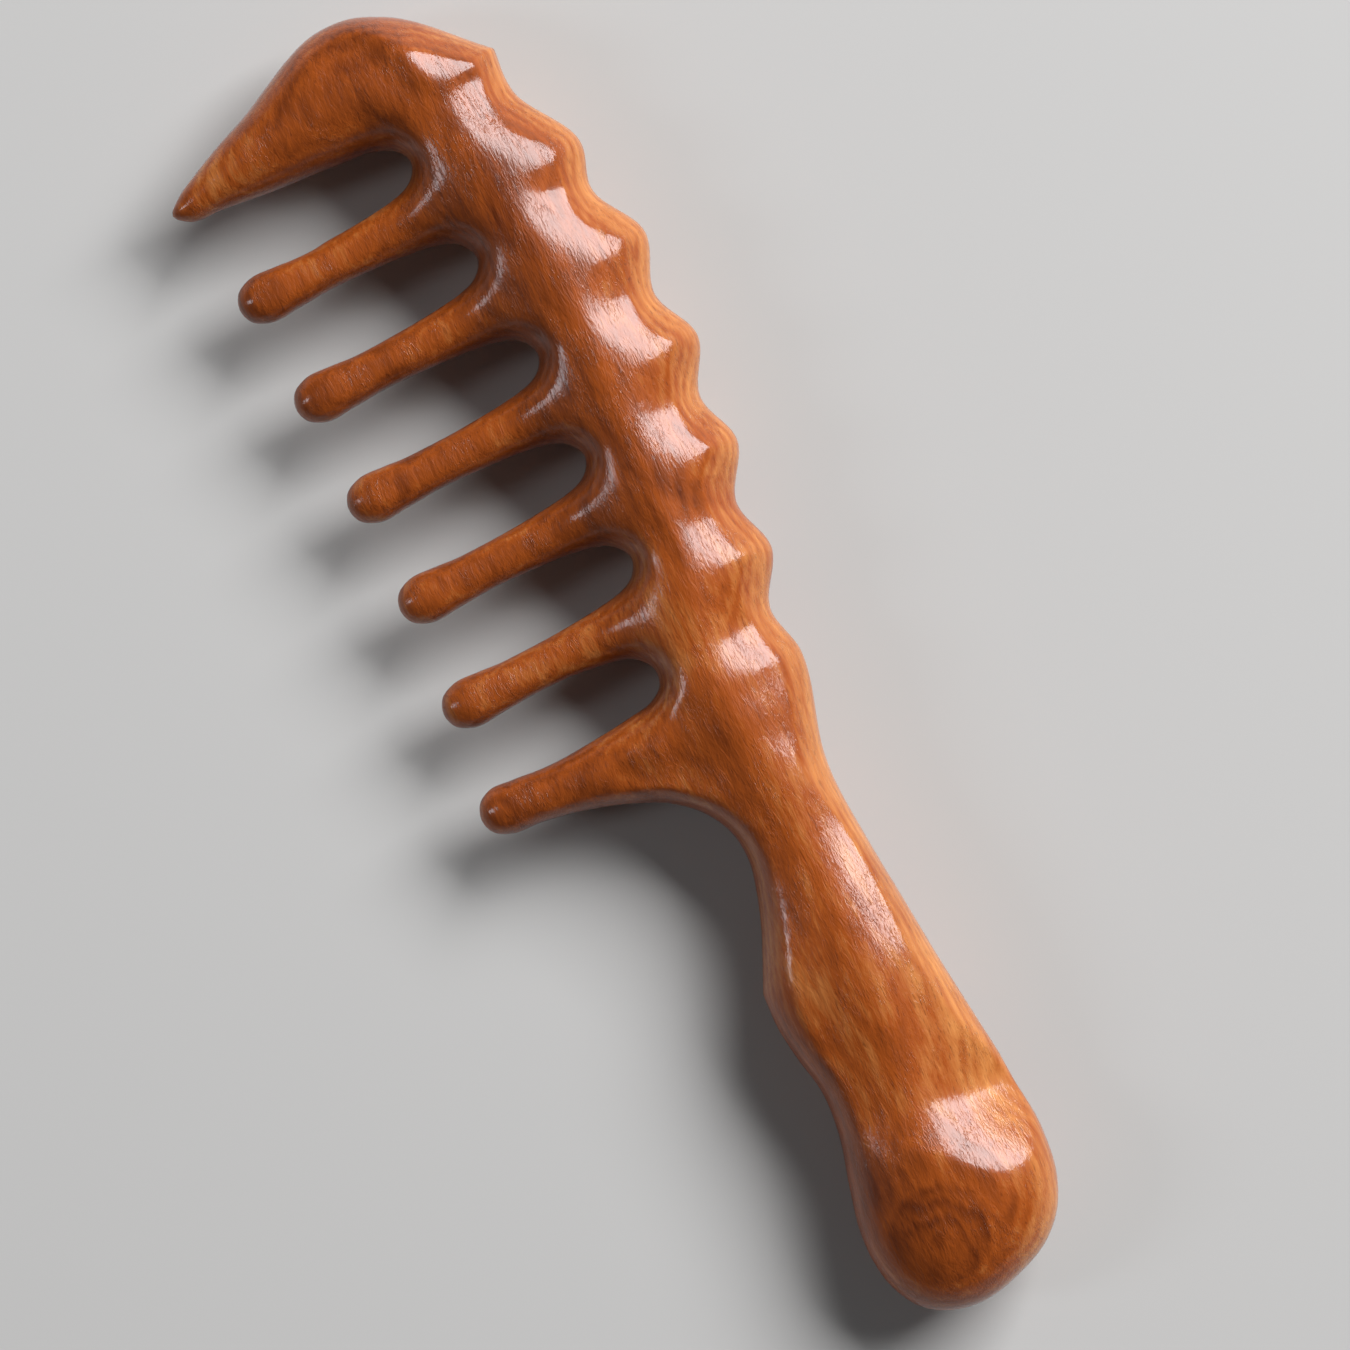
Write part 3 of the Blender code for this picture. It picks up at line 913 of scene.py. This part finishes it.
def wood_material(name, shade, knot):
    """Polished red-brown hardwood under clear gloss, as bright as shade, and with the knot or
    without it."""
    material = bpy.data.materials.new(name)
    material.use_nodes = True
    nodes = Nodes(material)
    position = nodes.add("TexCoord", {}).outputs["Object"]
    place = nodes.moved(position, -BENCH_ORIGIN / MM, (1 / MM,) * 3)
    fine = nodes.grain(place, *FINE)
    fibres = nodes.grain(place, *FIBRES)
    pores = nodes.spread(nodes.grain(place, *PORES), *PORE_RANGE)
    tone = wood_tone(nodes, place, fine, fibres, knot)
    ripple = polish_ripple(nodes, place, pores)
    roughness = nodes.maths("MULTIPLY_ADD", fibres, FIBRE_ROUGHNESS, ROUGHNESS)

    bsdf = material.node_tree.nodes["Principled BSDF"]
    nodes.wire(bsdf.inputs["Base Color"], wood_colour(nodes, tone, pores, shade))
    nodes.wire(bsdf.inputs["Roughness"], roughness)
    nodes.wire(bsdf.inputs["Normal"], nodes.bump(ripple, WOOD_BUMP))
    nodes.wire(bsdf.inputs["Coat Normal"], nodes.bump(ripple, GLOSS_BUMP))
    bsdf.inputs["Specular IOR Level"].default_value = 0.15
    bsdf.inputs["Coat Weight"].default_value = 1.0
    bsdf.inputs["Coat Roughness"].default_value = 0.1
    bsdf.inputs["Coat IOR"].default_value = 1.38
    return material


# ---- the studio ----------------------------------------------------------------------------

# The camera looks straight down on the comb, turned as in the photograph, at the point AIM, where
# the picture is FRAME_WIDTH wide.
PHOTO_RIGHT = Vector((-0.4175, -0.9088, 0))
PHOTO_UP = Vector((0.9088, -0.4175, 0))
TOWARDS_CAMERA = Vector((0, 0, 1))
AIM = Vector((-2.4, -6.8, 9.0)) * MM
FRAME_WIDTH = 179.2 * MM
LENS = 135.0
SENSOR = 36.0
NEAREST_SEEN = 0.01

# The room's dim glow all round, and the pale walls low round the floor, which fade out upwards
# between these rises.
ROOM_COLOUR = (0.95, 0.97, 1, 1)
ROOM_GLOW = 0.045
WALL_GLOW = 0.42
WALL_RISE = (0.2, 0.1)
FLOOR_HALF = 1.0


def camera():
    data = bpy.data.cameras.new("camera")
    data.lens = LENS
    data.sensor_width = SENSOR
    data.clip_start = NEAREST_SEEN
    obj = bpy.data.objects.new("camera", data)
    bpy.context.scene.collection.objects.link(obj)
    turn = Matrix((PHOTO_RIGHT, PHOTO_UP, TOWARDS_CAMERA)).transposed().to_4x4()
    obj.matrix_world = Matrix.Translation(AIM + TOWARDS_CAMERA * FRAME_WIDTH * LENS / SENSOR) @ turn
    bpy.context.scene.camera = obj


def softbox(name, direction, distance, width, height, power, colour):
    """A rectangular light in that direction from AIM, and facing it. Width is along the floor."""
    data = bpy.data.lights.new(name, "AREA")
    data.shape = "RECTANGLE"
    data.size = width
    data.size_y = height
    data.energy = power
    data.color = colour
    obj = bpy.data.objects.new(name, data)
    bpy.context.scene.collection.objects.link(obj)
    away = Vector(direction).normalized()
    across = Vector((0, 0, 1)).cross(away).normalized()
    turn = Matrix((across, away.cross(across), away)).transposed().to_4x4()
    obj.matrix_world = Matrix.Translation(AIM + away * distance) @ turn


def lay_floor():
    """A pale, nearly matt floor at the comb's resting plane."""
    mesh = bpy.data.meshes.new("floor")
    bm = bmesh.new()
    bmesh.ops.create_grid(bm, x_segments=1, y_segments=1, size=FLOOR_HALF)
    bm.to_mesh(mesh)
    bm.free()
    floor = bpy.data.objects.new("floor", mesh)
    floor.location.z = CAD_BOX[0].z
    bpy.context.scene.collection.objects.link(floor)
    material = bpy.data.materials.new("floor_paint")
    material.use_nodes = True
    bsdf = material.node_tree.nodes["Principled BSDF"]
    bsdf.inputs["Base Color"].default_value = (0.53, 0.52, 0.5, 1)
    bsdf.inputs["Roughness"].default_value = 0.95
    bsdf.inputs["Specular IOR Level"].default_value = 0.1
    mesh.materials.append(material)


def light_room():
    """The world round the studio: a dim room with pale walls low round the floor."""
    world = bpy.data.worlds.new("studio")
    bpy.context.scene.world = world
    world.use_nodes = True
    nodes = Nodes(world)
    direction = nodes.add("TexCoord", {}).outputs["Generated"]
    rise = nodes.add("SeparateXYZ", {0: direction}).outputs[2]
    glow = nodes.maths("MULTIPLY_ADD", nodes.spread(rise, *WALL_RISE), WALL_GLOW, ROOM_GLOW)
    background = world.node_tree.nodes["Background"]
    background.inputs["Color"].default_value = ROOM_COLOUR
    nodes.wire(background.inputs["Strength"], glow)


def studio():
    """The floor, the room, and two soft lights: a big key, and a weak one across from it."""
    lay_floor()
    softbox(
        "key",
        direction=(0.33, -0.715, 0.617),
        distance=2.0,
        width=1.5,
        height=1.0,
        power=74,
        colour=(0.96, 0.97, 1.0),
    )
    softbox(
        "side",
        direction=(0.245, 0.792, 0.556),
        distance=2.0,
        width=0.34,
        height=0.56,
        power=5,
        colour=(0.9, 0.93, 1.0),
    )
    light_room()


def main():
    slots = {s["node"]: s["material_slot"] for s in frame["record"]["subparts"]}
    woods = {}
    for node, piece in comb_pieces().items():
        slot = slots[node]
        if slot not in woods:
            woods[slot] = wood_material(slot, SHADES.get(slot, 1.0), node == KNOT_NODE)
        piece.data.materials.append(woods[slot])
        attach(piece, "root")
        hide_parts(node)
    studio()
    camera()
    bpy.context.scene.view_settings.view_transform = "Standard"


main()
